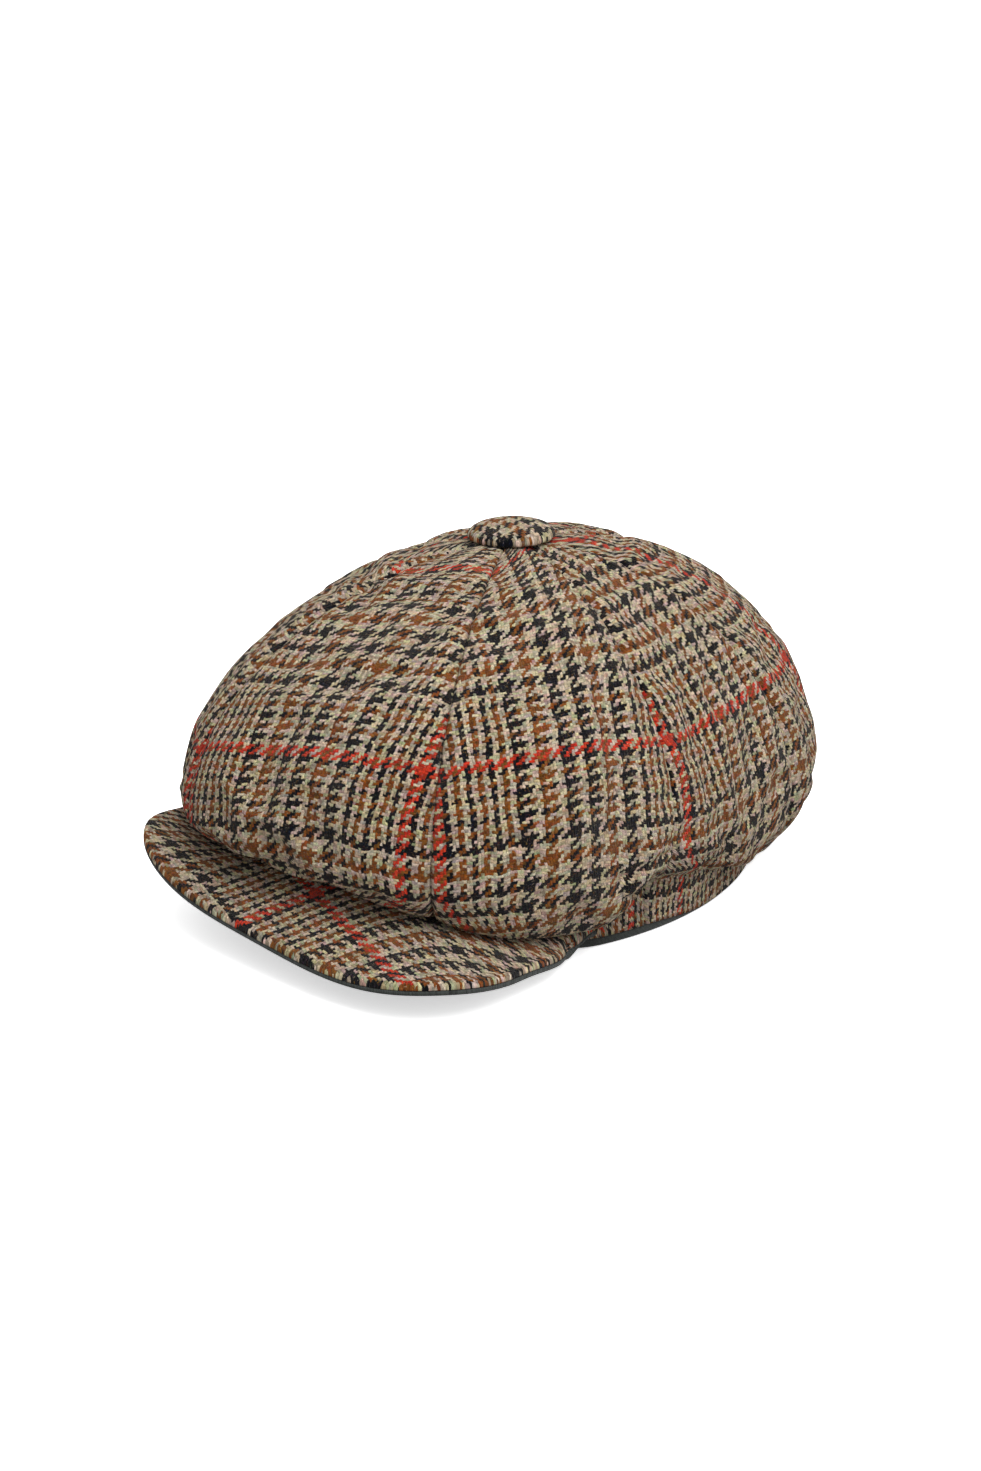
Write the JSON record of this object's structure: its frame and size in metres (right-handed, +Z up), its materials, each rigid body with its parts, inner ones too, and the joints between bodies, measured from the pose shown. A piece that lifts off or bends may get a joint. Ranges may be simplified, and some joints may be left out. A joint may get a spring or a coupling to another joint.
{
  "type": "newsboy cap",
  "caption": "Soft, full-crowned newsboy cap sewn from wedge panels that meet under a covered button, with a short stiffened visor, an inner head band and a lining.",
  "frame": {"origin": "under the middle of the whole cap, on the plane it rests on (the lower edge of the head band at the sides and back)", "axes": "+Z up through the button, -Y forward over the visor, +X to the wearer's left"},
  "size_m": [0.202, 0.286, 0.1369],
  "materials": {
    "tweed": "soft wool twill in a check of cream, charcoal and rust-brown, with a red overcheck",
    "dark_cloth": "plain charcoal twill",
    "satin_lining": "smooth satin",
    "stiffener": "matt sheet",
    "tin_plate": "tin-plated pressed steel",
    "label_cloth": "blank woven tape"
  },
  "bodies": {
    "cap": {"crown_panel_front": "tweed", "crown_panel_front_left": "tweed", "crown_panel_left": "tweed", "crown_panel_back_left": "tweed", "crown_panel_back": "tweed", "crown_panel_back_right": "tweed", "crown_panel_right": "tweed", "crown_panel_front_right": "tweed", "lining_panel_front": "satin_lining", "lining_panel_front_left": "satin_lining", "lining_panel_left": "satin_lining", "lining_panel_back_left": "satin_lining", "lining_panel_back": "satin_lining", "lining_panel_back_right": "satin_lining", "lining_panel_right": "satin_lining", "lining_panel_front_right": "satin_lining", "sweatband": "dark_cloth", "band_interfacing": "stiffener", "size_label": "label_cloth"},
    "visor": {"visor_top_cover": "tweed", "visor_board": "stiffener", "visor_under_cover": "dark_cloth"},
    "button": {"button_cover": "tweed", "button_shell": "tin_plate", "button_back_plate": "tin_plate", "button_shank": "tin_plate"}
  },
  "joints": [
    {"name": "visor_flex", "type": "hinge", "parent": "cap", "child": "visor", "pos_m": [0, -0.084, 0.026], "axis": [-1, 0, 0], "range_deg": [-10, 6], "stiffness_Nm_per_rad": 1.5},
    {"name": "crown_press", "type": "slide", "parent": "cap", "child": "button", "axis": [0, 0, -1], "range_m": [0, 0.02], "stiffness_N_per_m": 60, "deforming": ["crown_panel_front", "crown_panel_front_left", "crown_panel_left", "crown_panel_back_left", "crown_panel_back", "crown_panel_back_right", "crown_panel_right", "crown_panel_front_right", "lining_panel_front", "lining_panel_front_left", "lining_panel_left", "lining_panel_back_left", "lining_panel_back", "lining_panel_back_right", "lining_panel_right", "lining_panel_front_right"]}
  ]
}
